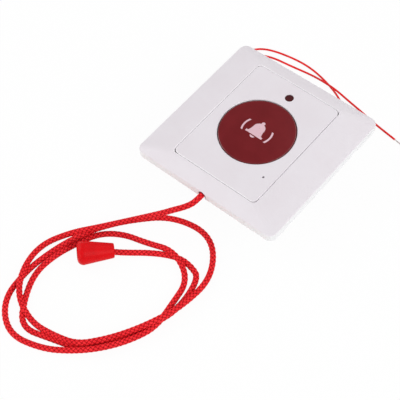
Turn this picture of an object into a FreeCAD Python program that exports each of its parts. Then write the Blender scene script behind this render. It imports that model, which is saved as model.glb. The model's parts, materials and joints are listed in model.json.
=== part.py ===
import FreeCAD, Part
import math
import os

from FreeCAD import Vector

# Emergency call point for a standard 86 mm wall box, with a pull cord.
# It lies on its back: +Z is the way the face looks, +X its right, +Y its top.
# The origin is under the middle of the plate, on the back of the rear housing.
# All sizes are in millimetres.

# Heights above the back of the rear housing
housing_depth = 17.0
plate_depth = 8.0
wall_plane = housing_depth
face_height = wall_plane + plate_depth

# Cover frame
plate_size = 86.0
plate_corner_radius = 4.0
crown_drop = 3.6
crown_start_slope = 0.45
crown_sections = 4
frame_wall = 2.0
rim_edge_radius = 0.8
opening_edge_radius = 0.35
opening_corner_radius = 2.3
collar_wall = 1.5
collar_slot_half_width = 9.0
frame_rib_thickness = 1.4
frame_rib_offset_side = 22.0
frame_rib_offset_end = 15.0
nib_width = 10.0
nib_height = 0.8
nib_depth = 0.8
nib_offset = 20.0
nib_rise = 0.1
nib_gap = 0.1
pry_notch_width = 5.0
pry_notch_height = 1.3
pry_notch_place = 22.8

# Front panel
panel_width = 51.2
panel_height = 68.4
panel_thickness = 2.2
panel_corner_radius = 3.0
panel_edge_radius = 0.4
panel_gap = 0.15
skirt_inset = 1.0
skirt_wall = 1.5
guide_wall = 1.5
guide_depth = 10.0
hole_chamfer = 0.35
boss_radius = 2.8
pinhole_radius = 0.65
pinhole_place = (19.6, -19.7)
panel_rib_thickness = 1.0
panel_rib_height = 2.4

# Mounting base
base_thickness = 2.0
base_clearance = 0.3
base_corner_radius = 1.7
window_width = 48.0
window_height = 60.0
window_corner_radius = 2.5
screw_spacing = 60.3
slot_half_width = 2.2
slot_length = 7.0
slot_rim_wall = 1.2
slot_rim_height = 0.8

# Rear housing
housing_width = 50.0
housing_height = 62.0
housing_corner_radius = 4.0
housing_wall = 1.8
housing_edge_radius = 1.0
column_radius = 3.8
column_x = 20.5
column_y = 26.0
column_seat_height = 9.0

# Case screws, from the back
case_screw_radius = 1.3
case_screw_head_radius = 2.3
case_screw_head_height = 1.8
case_screw_head_edge = 0.3
case_screw_grip = 4.8
screw_clearance = 0.15
screw_recess_depth = 1.0
screw_recess_arm = 1.0
screw_recess_half_width = 0.3
screw_tip_gap = 0.3

# Call button
button_radius = 19.65
button_gap = 0.3
button_edge_drop = 0.4
button_dome = 0.8
button_wall = 1.6
button_crown = 2.0
button_edge_radius = 0.6
tab_reach = 1.25
tab_height = 1.1
tab_width = 6.0
tab_gap = 0.2
tab_count = 4
tab_turn = 0.5

# Carrier under the cap, with the stem
carrier_thickness = 1.6
carrier_clearance = 0.15
stem_tip_radius = 1.6
stem_rib_reach = 6.0
stem_rib_thickness = 1.0
stem_rib_drop = 2.5
spigot_radius = 1.5
spigot_height = 1.6

# Button springs
spring_place = 13.0
spring_radius = 2.3
spring_wire_radius = 0.25
spring_turns = 6
spring_sections = 10
spring_seat_clearance = 0.05
spring_post_radius = 3.2
spring_post_top = 9.0

# Circuit board
board_thickness = 1.6
board_floor_gap = 1.8
board_edge_gap = 0.5
board_corner_radius = 1.0
standoff_radius = 2.4
standoff_x = 17.0
standoff_y = 9.0
board_screw_radius = 0.9
board_screw_head_radius = 1.9
board_screw_head_height = 1.2
board_screw_reach = 2.2

# Subminiature switches
switch_length = 12.8
switch_width = 5.8
switch_height = 6.5
pin_width = 0.8
pin_depth = 0.5
pin_length = 2.8
pin_pitch = 5.08
plunger_clearance = 0.06
plunger_bore_depth = 2.6

# Call switch with its lever
lever_pivot_x = -11.4
lever_pivot_rise = 0.45
lever_rest_angle = 11.2
lever_length = 13.0
lever_width = 3.2
lever_thickness = 0.35
knuckle_radius = 0.45
trunnion_radius = 0.3
trunnion_clearance = 0.05
ear_thickness = 0.8
ear_gap = 0.1
ear_half_length = 0.8
lever_plunger_arm = 3.6
lever_plunger_radius = 0.6
lever_plunger_rise = 0.8
switch_end_margin = 0.8
stem_gap = 0.15

# Pull cord mechanism
cord_diameter = 2.8
cord_rise = 2.2
cord_passage_gap = 0.2
cord_notch_gap = 0.35
ferrule_wall = 0.5
ferrule_recess = 5.5
ferrule_relief = 1.0
ferrule_flange_radius = 3.0
ferrule_flange_thickness = 0.6
ferrule_seat_gap = 0.05
ferrule_skirt_gap = 0.1
slider_width = 10.0
slider_front = -26.6
slider_back = -21.8
slider_bottom = 17.0
slider_top = 22.6
slider_edge_radius = 0.5
slider_pocket_depth = 3.5
slider_clearance = 0.15
guide_rail_wall = 1.4
guide_lip_height = 0.8
guide_lip_reach = 1.1
guide_rail_front = -28.9
crimp_wall = 0.7
crimp_length = 3.0
crimp_gap = 0.2
pull_spring_radius = 1.95
pull_spring_wire_radius = 0.2
pull_spring_turns = 3
cam_half_width = 2.2
cam_slope = 0.3
cam_gap = 0.25
pull_plunger_y = -25.2
pull_plunger_radius = 0.7
pull_plunger_rise = 1.2
pull_switch_shift = 2.75

# Indicator
indicator_hole_radius = 2.3
indicator_guide_gap = 1.35
lens_gap = 0.1
lens_recess = 0.4
lens_flange_radius = 3.2
lens_flange_thickness = 1.0
led_radius = 1.5
led_flange_radius = 1.9
led_flange_height = 0.8
led_length = 5.0
led_lens_gap = 0.6
leg_size = 0.5
leg_pitch = 2.54
leg_end_length = 0.8
resistor_radius = 1.1
resistor_length = 5.5
resistor_pitch = 8.0
resistor_place = (9.0, 20.5)
resistor_rise = 1.3
resistor_leg_radius = 0.3

# Lead wires
lead_diameter = 1.1
lead_height = 8.0
lead_y = 16.0
lead_pitch = 2.8
lead_bush_flange = 0.9
lead_bush_rim = 0.8
lead_hole_width = 6.4
lead_hole_height = 3.6
lead_hole_gap = 0.05
header_length = 7.0
header_width = 7.4
header_height = 4.4
header_bush_gap = 1.3
header_recess_wall = 1.0
tip_radius = 0.35
tip_length = 5.0

# Knob on the end of the pull cord
knob_length = 18.4
knob_big_radius = 6.45
knob_small_radius = 3.65
knob_end_bulge = 1.1
knob_big_edge = 2.9
knob_small_edge = 0.6
knob_bore_radius = 2.5
knob_mouth_chamfer = 0.35
knob_pocket_radius = 3.1
knob_pocket_depth = 8.2
knob_small_end = (-20.5, -44.0)
knob_axis_heading = (-0.6626, -0.7490)
knob_rest_gap = 0.02
knot_seat = 2.0
tail_approach = 4.5
tail_entry = 1.5
tail_entry_drop = 0.9
knot_radius = 2.7

# Routes chosen by hand. Those of the pull cord count Y from the plate's lower edge.
# The cord falls from its notch onto the coil.
cord_route = [
    (0.0, 0.6, 19.2),
    (0.0, -3.2, 19.2),
    (-1.0, -6.8, 18.2),
    (-3.8, -10.45, 17.0),
    (-7.6, -13.1, 14.65),
    (-12.1, -16.4, 11.55),
    (-19.55, -22.45, 8.0),
    (-28.8, -30.45, 4.2),
]
tail_route = [
    (15.0, -25.3, 1.45),
    (6.5, -27.0, 1.45),
    (-4.6, -32.2, 1.45),
]
# Outline of the loose turns, outside and inside
coil_outer = [
    (23.6, -63.0), (31.0, -38.2), (17.5, -11.9), (-12.0, -11.0), (-31.4, -29.4), (-42.8, -45.2),
    (-51.9, -63.0), (-52.1, -86.2), (-36.7, -105.8), (-12.0, -106.2), (5.3, -93.0), (16.2, -79.3),
]
coil_inner = [
    (16.9, -63.0), (16.7, -46.5), (7.0, -30.2), (-12.0, -31.4), (-27.2, -36.6), (-37.4, -48.3),
    (-41.2, -63.0), (-40.2, -79.3), (-29.1, -92.5), (-12.0, -92.5), (1.6, -86.6), (10.7, -76.1),
]
coil_thickness = 2 * cord_diameter
lead_a_route = [
    (-26.4, 14.6, 8.0),
    (-32.0, 14.6, 8.0),
    (-39.2, 18.2, 7.0),
    (-45.4, 25.6, 5.0),
    (-48.8, 35.0, 3.0),
    (-50.8, 44.6, 1.6),
    (-49.8, 54.2, 0.7),
    (-43.5, 61.3, 0.6),
    (-29.6, 64.4, 0.6),
    (-16.3, 65.2, 0.6),
    (-3.5, 62.2, 0.6),
    (7.6, 58.1, 0.6),
    (18.0, 51.1, 0.6),
    (28.7, 47.4, 0.6),
]
lead_b_route = [
    (-26.4, 17.4, 8.0),
    (-31.0, 17.4, 8.0),
    (-37.0, 21.2, 7.0),
    (-41.8, 28.6, 5.0),
    (-44.8, 37.4, 3.0),
    (-46.6, 46.4, 1.6),
    (-44.8, 53.8, 0.8),
    (-36.9, 58.2, 0.6),
    (-24.7, 59.0, 0.6),
    (-12.5, 60.9, 1.0),
    (-4.6, 60.5, 2.5),
    (4.7, 59.6, 2.5),
    (14.3, 58.6, 1.0),
    (23.8, 57.0, 0.6),
    (33.8, 54.7, 0.6),
    (47.8, 52.4, 0.6),
]

# Sizes that follow from the ones above
rim_height = face_height - crown_drop
opening_width = panel_width + 2 * panel_gap
opening_height = panel_height + 2 * panel_gap
base_top = wall_plane + base_thickness
cord_height = wall_plane + cord_rise
base_size = plate_size - 2 * frame_wall - 2 * base_clearance
panel_underside = face_height - panel_thickness
guide_radius = button_radius + button_gap
guide_bottom = face_height - guide_depth
indicator_y = guide_radius + guide_wall + lens_flange_radius + indicator_guide_gap
skirt_width = panel_width - 2 * skirt_inset
skirt_height = panel_height - 2 * skirt_inset
skirt_inner_y = skirt_height / 2 - skirt_wall
board_bottom = housing_wall + board_floor_gap
board_top = board_bottom + board_thickness
switch_top = board_top + switch_height
cap_edge_height = face_height - button_edge_drop
cap_bottom = guide_bottom - tab_gap - tab_height
cap_inner_top = cap_edge_height - button_crown
carrier_bottom = cap_inner_top - carrier_thickness
lever_pivot_z = switch_top + lever_pivot_rise
cord_radius = cord_diameter / 2
passage_radius = cord_radius + cord_passage_gap
ferrule_radius = passage_radius + ferrule_wall
ferrule_front = ferrule_recess - plate_size / 2
ferrule_flange_back = -skirt_inner_y + ferrule_skirt_gap
ferrule_back = ferrule_flange_back + ferrule_flange_thickness
pull_plunger_top = switch_top + pull_plunger_rise
cam_height = pull_plunger_top + cam_gap
lens_bottom = panel_underside - lens_flange_thickness
led_top = lens_bottom - led_lens_gap
led_base = led_top - led_length
lead_radius = lead_diameter / 2
header_face_x = -housing_width / 2 + housing_wall + lead_bush_flange + header_bush_gap

plate_edge = Vector(0, -plate_size / 2, 0)

up = Vector(0, 0, 1)
along_x = Vector(1, 0, 0)
along_y = Vector(0, 1, 0)


def level_circle(centre, radius, normal=up):
    """Closed circular wire about a centre."""
    return Part.Wire([Part.makeCircle(radius, centre, normal)])


def cylinder(radius, start, end):
    """Round bar from one point to another."""
    axis = end - start
    return Part.makeCylinder(radius, axis.Length, start, axis)


def post(radius, x, y, bottom, top):
    """Upright round bar."""
    return cylinder(radius, Vector(x, y, bottom), Vector(x, y, top))


def block(x_range, y_range, z_range):
    """Straight block between pairs of coordinates."""
    corner = Vector(x_range[0], y_range[0], z_range[0])
    return Part.makeBox(x_range[1] - x_range[0], y_range[1] - y_range[0], z_range[1] - z_range[0], corner)


def rounded_outline(width, height, radius, z):
    """Level rectangle with round corners, as a wire."""
    reach_x = width / 2 - radius
    reach_y = height / 2 - radius
    edges = []
    for quarter, (side_x, side_y) in enumerate([(1, 1), (-1, 1), (-1, -1), (1, -1)]):
        circle = Part.Circle(Vector(side_x * reach_x, side_y * reach_y, z), up, radius)
        arc = Part.Arc(circle, quarter * math.pi / 2, (quarter + 1) * math.pi / 2).toShape()
        edges.append(arc)
    sides = []
    for index, arc in enumerate(edges):
        following = edges[(index + 1) % len(edges)]
        sides.append(arc)
        sides.append(Part.LineSegment(arc.Vertexes[-1].Point, following.Vertexes[0].Point).toShape())
    return Part.Wire(sides)


def rounded_block(width, height, radius, bottom, top):
    """Level plate with round corners."""
    face = Part.Face(rounded_outline(width, height, radius, bottom))
    return face.extrude(Vector(0, 0, top - bottom))


def edges_at_height(shape, z):
    """Edges of a shape that lie wholly at one height."""
    close = 1e-4
    return [edge for edge in shape.Edges
            if abs(edge.BoundBox.ZMin - z) < close and abs(edge.BoundBox.ZMax - z) < close]


def joined(first, others):
    """One solid from touching pieces."""
    return first.fuse(others).removeSplitter()


def corner_places(x, y):
    """The four places that mirror one another about the middle."""
    return [(side_x * x, side_y * y) for side_x in (-1, 1) for side_y in (-1, 1)]


def bend_radius(before, corner, after):
    """Radius of the arc at one corner of a route."""
    first = corner - before
    second = after - corner
    half_turn = first.getAngle(second) / 2
    share = 0.45
    return share * min(first.Length, second.Length) / math.tan(half_turn)


def route_wire(points):
    """Straight runs joined by tangent arcs."""
    edges = []
    start = points[0]
    for before, corner, after in zip(points, points[1:], points[2:]):
        half_turn = (corner - before).getAngle(after - corner) / 2
        radius = bend_radius(before, corner, after)
        reach = radius * math.tan(half_turn)
        way_in = (before - corner).normalize()
        way_out = (after - corner).normalize()
        arc_start = corner + way_in * reach
        arc_end = corner + way_out * reach
        middle_way = (way_in + way_out).normalize()
        arc_middle = corner + middle_way * (radius / math.cos(half_turn) - radius)
        edges.append(Part.LineSegment(start, arc_start).toShape())
        edges.append(Part.Arc(arc_start, arc_middle, arc_end).toShape())
        start = arc_end
    edges.append(Part.LineSegment(start, points[-1]).toShape())
    return Part.Wire(edges)


def route_tube(name, points, diameter):
    """Plain tube along a route, with its bends printed."""
    corners = [Vector(point) for point in points]
    path = route_wire(corners)
    section = level_circle(corners[0], diameter / 2, corners[1] - corners[0])
    tube = path.makePipeShell([section], True, False)
    radii = [bend_radius(*three) for three in zip(corners, corners[1:], corners[2:])]
    expected = math.pi * diameter ** 2 / 4 * path.Length
    print(name, "length", round(path.Length, 1), "radii", [round(radius, 1) for radius in radii],
          "volume share", round(tube.Volume / expected, 4))
    return tube


def coil_spring(radius, wire_radius, turns, length):
    """Open coil of round wire, standing on the origin along +Z."""
    rise = (length - 2 * wire_radius) / turns
    sections = []
    for step in range(turns * spring_sections + 1):
        angle = 2 * math.pi * step / spring_sections
        centre = Vector(radius * math.cos(angle), radius * math.sin(angle),
                        wire_radius + rise * step / spring_sections)
        heading = Vector(-radius * math.sin(angle), radius * math.cos(angle), rise / (2 * math.pi))
        sections.append(level_circle(centre, wire_radius, heading))
    return Part.makeLoft(sections, True, False)


def crown_section(step, inset, lowered):
    """Outline of the frame's border, from the rim (0) to the opening (1)."""
    share = step / (crown_sections - 1)
    outward = 1 - share
    width = opening_width + (plate_size - 2 * inset - opening_width) * outward
    height = opening_height + (plate_size - 2 * inset - opening_height) * outward
    corner = opening_corner_radius + (plate_corner_radius - inset - opening_corner_radius) * outward
    fall = crown_drop * (crown_start_slope * outward + (1 - crown_start_slope) * outward ** 2)
    return rounded_outline(width, height, corner, face_height - lowered - fall)


def crowned_block(inset, lowered):
    """Square block whose top rises in a shallow crown to the opening."""
    size = plate_size - 2 * inset
    sides = rounded_block(size, size, plate_corner_radius - inset, wall_plane, rim_height - lowered)
    sections = [crown_section(step, inset, lowered) for step in range(crown_sections)]
    crown = Part.makeLoft(sections, True, False)
    return sides.fuse(crown)


def frame_ribs(outside):
    """Thin ribs that carry the border on the mounting base."""
    half = frame_rib_thickness / 2
    reach = plate_size / 2 - frame_wall / 2
    ribs = []
    for x_side in (-1, 1):
        for y_side in (-1, 1):
            x_span = sorted((x_side * (opening_width / 2 + collar_wall / 2), x_side * reach))
            y_place = y_side * frame_rib_offset_side
            ribs.append(block(x_span, (y_place - half, y_place + half), (base_top, face_height)))
            y_span = sorted((y_side * (opening_height / 2 + collar_wall / 2), y_side * reach))
            x_place = x_side * frame_rib_offset_end
            ribs.append(block((x_place - half, x_place + half), y_span, (base_top, face_height)))
    return [outside.common(rib) for rib in ribs]


def cover_frame():
    """Clip-on outer frame with its crowned border."""
    outside = crowned_block(0, 0)
    rim_edges = edges_at_height(outside, rim_height)
    outside = outside.makeFillet(rim_edge_radius, rim_edges)
    cavity = crowned_block(frame_wall, frame_wall)
    opening = rounded_block(opening_width, opening_height, opening_corner_radius, wall_plane, face_height)
    frame = outside.cut(cavity)
    collar_size = 2 * collar_wall
    collar = rounded_block(opening_width + collar_size, opening_height + collar_size,
                           opening_corner_radius + collar_wall, base_top, face_height)
    collar = outside.common(collar)
    collar = collar.cut(block((-plate_size, plate_size), (-collar_slot_half_width, collar_slot_half_width),
                              (wall_plane, panel_underside)))
    frame = joined(frame, [collar] + frame_ribs(outside)).cut(opening)
    frame = frame.makeFillet(opening_edge_radius, edges_at_height(frame, face_height))
    inner_face = plate_size / 2 - frame_wall
    nibs = []
    for x_side in (-1, 1):
        for y_side in (-1, 1):
            x_place = x_side * nib_offset
            y_span = sorted((y_side * (inner_face - nib_depth), y_side * (inner_face + frame_wall / 2)))
            nibs.append(block((x_place - nib_width / 2, x_place + nib_width / 2), y_span,
                              (wall_plane + nib_rise, wall_plane + nib_rise + nib_height)))
    frame = joined(frame, nibs)
    notch_half = cord_radius + cord_notch_gap
    front = -plate_size / 2 - frame_wall
    notch = block((-notch_half, notch_half), (front, ferrule_front), (0, cord_height))
    notch_top = cylinder(notch_half, Vector(0, front, cord_height), Vector(0, ferrule_front, cord_height))
    relief_half = ferrule_radius + cord_notch_gap
    relief_front = ferrule_front - ferrule_relief
    relief = block((-relief_half, relief_half), (relief_front, 0), (0, cord_height))
    relief_top = cylinder(relief_half, Vector(0, relief_front, cord_height), Vector(0, 0, cord_height))
    pry = block((inner_face - nib_depth, plate_size),
                (pry_notch_place - pry_notch_width / 2, pry_notch_place + pry_notch_width / 2),
                (0, wall_plane + pry_notch_height))
    return frame.cut([notch, notch_top, relief, relief_top, pry])


def slider_guide():
    """Two rails with lips that carry the cord slider."""
    inner = slider_width / 2 + slider_clearance
    bottom = slider_bottom - slider_clearance - guide_lip_height
    rails = []
    for side in (-1, 1):
        wall = sorted((side * inner, side * (inner + guide_rail_wall)))
        lip = sorted((side * (inner - guide_lip_reach), side * (inner + guide_rail_wall)))
        rails.append(block(wall, (guide_rail_front, -guide_radius), (bottom, panel_underside)))
        rails.append(block(lip, (guide_rail_front, -guide_radius), (bottom, bottom + guide_lip_height)))
    return rails


def panel_ribs():
    """Ribs from the button's guide collar to the screw bosses."""
    ribs = []
    half = panel_rib_thickness / 2
    bottom = panel_underside - panel_rib_height
    reach = math.hypot(column_x, column_y)
    for x_side in (-1, 1):
        for y_side in (-1, 1):
            rib = block((guide_radius + guide_wall / 2, reach), (-half, half), (bottom, panel_underside))
            angle = math.degrees(math.atan2(y_side * column_y, x_side * column_x))
            rib.rotate(Vector(0, 0, 0), up, angle)
            ribs.append(rib)
    return ribs


def front_panel():
    """Inner panel with the button's guide collar, the indicator hole and the screw bosses."""
    plate = rounded_block(panel_width, panel_height, panel_corner_radius, panel_underside, face_height)
    plate = plate.makeFillet(panel_edge_radius, edges_at_height(plate, face_height))
    corner = panel_corner_radius - skirt_inset
    skirt = rounded_block(skirt_width, skirt_height, corner, base_top, panel_underside)
    hollow = rounded_block(skirt_width - 2 * skirt_wall, skirt_height - 2 * skirt_wall,
                           corner - skirt_wall / 2, base_top, panel_underside)
    collar = post(guide_radius + guide_wall, 0, 0, guide_bottom, panel_underside)
    bosses = [post(boss_radius, x, y, wall_plane, panel_underside)
              for x, y in corner_places(column_x, column_y)]
    panel = joined(plate, [skirt.cut(hollow), collar] + bosses + slider_guide() + panel_ribs())
    button_hole = post(guide_radius, 0, 0, guide_bottom, face_height)
    chamfer = Part.makeCone(guide_radius, guide_radius + hole_chamfer, hole_chamfer,
                            Vector(0, 0, face_height - hole_chamfer), up)
    indicator_hole = post(indicator_hole_radius, 0, indicator_y, panel_underside, face_height)
    pinhole = post(pinhole_radius, pinhole_place[0], pinhole_place[1], panel_underside, face_height)
    pilots = [post(case_screw_radius, x, y, wall_plane, wall_plane + case_screw_grip)
              for x, y in corner_places(column_x, column_y)]
    notch_half = ferrule_radius + ferrule_seat_gap
    notch = block((-notch_half, notch_half), (-panel_height / 2, -skirt_inner_y + skirt_wall),
                  (base_top, cord_height))
    notch_top = cylinder(notch_half, Vector(0, -panel_height / 2, cord_height),
                         Vector(0, -skirt_inner_y + skirt_wall, cord_height))
    return panel.cut([button_hole, chamfer, indicator_hole, pinhole, notch, notch_top] + pilots)


def wall_slot(x, radius, length, bottom, top):
    """Slot for a wall screw, long along X."""
    reach = length / 2 - radius
    ends = [post(radius, x + side * reach, 0, bottom, top) for side in (-1, 1)]
    middle = block((x - reach, x + reach), (-radius, radius), (bottom, top))
    return joined(middle, ends)


def mounting_base():
    """Plate that is screwed to the wall box and carries everything else."""
    plate = rounded_block(base_size, base_size, base_corner_radius, wall_plane, base_top)
    window = rounded_block(window_width, window_height, window_corner_radius, wall_plane, base_top)
    rims = []
    slots = []
    for side in (-1, 1):
        x = side * screw_spacing / 2
        rims.append(wall_slot(x, slot_half_width + slot_rim_wall, slot_length + 2 * slot_rim_wall,
                              wall_plane, base_top + slot_rim_height))
        slots.append(wall_slot(x, slot_half_width, slot_length, wall_plane, base_top + slot_rim_height))
    ledges = []
    ledge_top = wall_plane + nib_rise + nib_height + nib_gap
    edge = base_size / 2
    for x_side in (-1, 1):
        for y_side in (-1, 1):
            x_place = x_side * nib_offset
            half = nib_width / 2 + base_clearance
            y_span = sorted((y_side * (edge - nib_depth), y_side * edge))
            ledges.append(block((x_place - half, x_place + half), y_span, (wall_plane, ledge_top)))
    half = ferrule_radius + ferrule_seat_gap
    cord_slot = block((-half, half), (-base_size / 2, -window_height / 2), (wall_plane, base_top))
    flange_half = ferrule_flange_radius + base_clearance
    flange_room = block((-flange_half, flange_half),
                        (ferrule_flange_back - base_clearance, -window_height / 2),
                        (wall_plane, base_top))
    return joined(plate, rims).cut([window, cord_slot, flange_room] + slots + ledges)


def rear_housing():
    """Moulded tub behind the plate, with screw columns, spring posts and board standoffs."""
    tub = rounded_block(housing_width, housing_height, housing_corner_radius, 0, wall_plane)
    tub = tub.makeFillet(housing_edge_radius, edges_at_height(tub, 0))
    inside = rounded_block(housing_width - 2 * housing_wall, housing_height - 2 * housing_wall,
                           housing_corner_radius - housing_wall, housing_wall, wall_plane)
    outline = rounded_block(housing_width, housing_height, housing_corner_radius, 0, wall_plane)
    tub = tub.cut(inside)
    columns = [post(column_radius, x, y, housing_wall / 2, wall_plane).common(outline)
               for x, y in corner_places(column_x, column_y)]
    posts = []
    for side in (-1, 1):
        y = side * spring_place
        posts.append(post(spring_post_radius, 0, y, housing_wall / 2, spring_post_top))
        posts.append(post(spigot_radius, 0, y, housing_wall, spring_post_top + spigot_height))
    standoffs = [post(standoff_radius, x, y, housing_wall / 2, board_bottom)
                 for x, y in corner_places(standoff_x, standoff_y)]
    tub = joined(tub, columns + posts + standoffs)
    cuts = []
    for x, y in corner_places(column_x, column_y):
        cuts.append(post(case_screw_head_radius + screw_clearance, x, y, 0, column_seat_height))
        cuts.append(post(case_screw_radius + screw_clearance, x, y, 0, wall_plane))
    for x, y in board_screw_places():
        cuts.append(post(board_screw_radius, x, y, board_bottom - board_screw_reach, board_bottom))
    hole = lead_opening(-housing_width / 2, -housing_width / 2 + housing_wall, 0)
    return tub.cut(cuts + [hole])


def case_screws():
    """Four self-tapping screws that draw the housing to the panel."""
    screws = []
    outer_face = column_seat_height - case_screw_head_height
    tip = wall_plane + case_screw_grip - screw_tip_gap
    for x, y in corner_places(column_x, column_y):
        head = post(case_screw_head_radius, x, y, outer_face, column_seat_height)
        head = head.makeFillet(case_screw_head_edge, edges_at_height(head, outer_face))
        shank = post(case_screw_radius, x, y, column_seat_height, tip)
        screws.append(joined(head, [shank]).cut(cross_recess(x, y, outer_face, 1)))
    return Part.makeCompound(screws)


def cross_recess(x, y, start, way):
    """Cross for a screwdriver, cut from a head's outer face."""
    arm = screw_recess_arm
    width = screw_recess_half_width
    span = sorted((start, start + way * screw_recess_depth))
    first = block((x - arm, x + arm), (y - width, y + width), span)
    second = block((x - width, x + width), (y - arm, y + arm), span)
    return first.fuse(second)


def board_screw_places():
    """The two standoffs that take a screw."""
    return [(standoff_x, standoff_y), (-standoff_x, -standoff_y)]


def board_screws():
    """Two small screws that hold the circuit board."""
    screws = []
    for x, y in board_screw_places():
        head = post(board_screw_head_radius, x, y, board_top, board_top + board_screw_head_height)
        shank = post(board_screw_radius, x, y, board_bottom - board_screw_reach + screw_tip_gap, board_top)
        recess = cross_recess(x, y, board_top + board_screw_head_height, -1)
        screws.append(joined(head, [shank]).cut(recess))
    return Part.makeCompound(screws)


def circuit_board():
    """Board with holes for the posts, screws, pins and legs."""
    gap = 2 * (housing_wall + board_edge_gap)
    board = rounded_block(housing_width - gap, housing_height - gap, board_corner_radius,
                          board_bottom, board_top)
    cuts = [post(column_radius + board_edge_gap, x, y, board_bottom, board_top)
            for x, y in corner_places(column_x, column_y)]
    cuts += [post(spring_post_radius + board_edge_gap, 0, side * spring_place, board_bottom, board_top)
             for side in (-1, 1)]
    cuts += [post(board_screw_radius + screw_clearance, x, y, board_bottom, board_top)
             for x, y in board_screw_places()]
    cuts += [post(pin_width / 2 + screw_clearance, x, y, board_bottom, board_top)
             for x, y in call_pin_places() + pull_pin_places()]
    cuts += [post(leg_size / 2 + screw_clearance, x, indicator_y, board_bottom, board_top)
             for x in (-leg_pitch / 2, leg_pitch / 2)]
    x, y = resistor_place
    leg_hole = resistor_leg_radius + screw_clearance
    cuts += [post(leg_hole, x + side * resistor_pitch / 2, y, board_bottom, board_top)
             for side in (-1, 1)]
    return board.cut(cuts)


def call_button_cap():
    """Large round cap, slightly domed, with retaining tabs under its guide."""
    dome_radius = (button_radius ** 2 + button_dome ** 2) / (2 * button_dome)
    outside = post(button_radius, 0, 0, cap_bottom, cap_edge_height + button_dome)
    dome_centre = Vector(0, 0, cap_edge_height + button_dome - dome_radius)
    dome = Part.makeSphere(dome_radius, dome_centre)
    cap = outside.common(dome)
    cap = cap.makeFillet(button_edge_radius, edges_at_height(cap, cap_edge_height))
    hollow = post(button_radius - button_wall, 0, 0, cap_bottom, cap_inner_top)
    tabs = []
    reach = button_radius + tab_reach
    ring = post(reach, 0, 0, cap_bottom, cap_bottom + tab_height)
    for index in range(tab_count):
        tab = block((button_radius - button_wall / 2, reach), (-tab_width / 2, tab_width / 2),
                    (cap_bottom, cap_bottom + tab_height))
        tab.rotate(Vector(0, 0, 0), up, (index + tab_turn) * 360 / tab_count)
        tabs.append(ring.common(tab))
    return joined(cap.cut(hollow), tabs)


def stem_tip_centre():
    """Height of the middle of the stem's round tip, just clear of the lever."""
    tilt = math.radians(lever_rest_angle)
    lever_top = lever_pivot_z - lever_pivot_x * math.tan(tilt) + lever_thickness / 2 / math.cos(tilt)
    return lever_top + (stem_tip_radius + stem_gap) / math.cos(tilt)


def button_carrier():
    """White moulding inside the cap, with the stem, its ribs and the spring spigots."""
    disc = post(button_radius - button_wall - carrier_clearance, 0, 0, carrier_bottom, cap_inner_top)
    tip = stem_tip_centre()
    stem = post(stem_tip_radius, 0, 0, tip, carrier_bottom)
    pieces = [stem, Part.makeSphere(stem_tip_radius, Vector(0, 0, tip))]
    rib_bottom = carrier_bottom - stem_rib_drop
    half = stem_rib_thickness / 2
    pieces.append(block((-stem_rib_reach, stem_rib_reach), (-half, half), (rib_bottom, carrier_bottom)))
    pieces.append(block((-half, half), (-stem_rib_reach, stem_rib_reach), (rib_bottom, carrier_bottom)))
    spigot_bottom = carrier_bottom - spigot_height
    for side in (-1, 1):
        pieces.append(post(spigot_radius, 0, side * spring_place, spigot_bottom, carrier_bottom))
    return joined(disc, pieces)


def button_spring(side):
    """Return spring between a housing post and the carrier."""
    length = carrier_bottom - spring_post_top - 2 * spring_seat_clearance
    spring = coil_spring(spring_radius, spring_wire_radius, spring_turns, length)
    spring.translate(Vector(0, side * spring_place, spring_post_top + spring_seat_clearance))
    return spring


def switch_pins(places):
    """Three flat terminals through the board."""
    pins = [block((x - pin_width / 2, x + pin_width / 2), (y - pin_depth / 2, y + pin_depth / 2),
                  (board_top - pin_length, board_top)) for x, y in places]
    return Part.makeCompound(pins)


def call_switch_start():
    """Left end of the call switch's case."""
    return lever_pivot_x - switch_end_margin


def call_pin_places():
    """Terminals of the call switch."""
    middle = call_switch_start() + switch_length / 2
    return [(middle + step * pin_pitch, 0.0) for step in (-1, 0, 1)]


def pull_pin_places():
    """Terminals of the pull switch."""
    return [(pull_switch_shift + step * pin_pitch, pull_plunger_y) for step in (-1, 0, 1)]


def call_switch_body():
    """Switch case with two ears for the lever's pivot."""
    start = call_switch_start()
    half = switch_width / 2
    case = block((start, start + switch_length), (-half, half), (board_top, switch_top))
    ear_inner = lever_width / 2 + ear_gap
    ears = []
    for side in (-1, 1):
        span = sorted((side * ear_inner, side * (ear_inner + ear_thickness)))
        ears.append(block((lever_pivot_x - ear_half_length, lever_pivot_x + ear_half_length), span,
                          (switch_top, lever_pivot_z + ear_half_length)))
    plunger_x = lever_pivot_x + lever_plunger_arm
    bore_radius = lever_plunger_radius + plunger_clearance
    bore = post(bore_radius, plunger_x, 0, switch_top - plunger_bore_depth, switch_top)
    middle = Vector(lever_pivot_x, 0, lever_pivot_z)
    pivot_reach = along_y * (ear_inner + ear_thickness)
    pivot = cylinder(trunnion_radius + trunnion_clearance, middle - pivot_reach, middle + pivot_reach)
    room_reach = along_y * ear_inner
    knuckle_room = cylinder(knuckle_radius + trunnion_clearance, middle - room_reach, middle + room_reach)
    return joined(case, ears).cut([bore, pivot, knuckle_room])


def call_switch_plunger():
    """Small plunger under the lever."""
    x = lever_pivot_x + lever_plunger_arm
    bottom = switch_top - plunger_bore_depth / 2
    return post(lever_plunger_radius, x, 0, bottom, switch_top + lever_plunger_rise)


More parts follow.
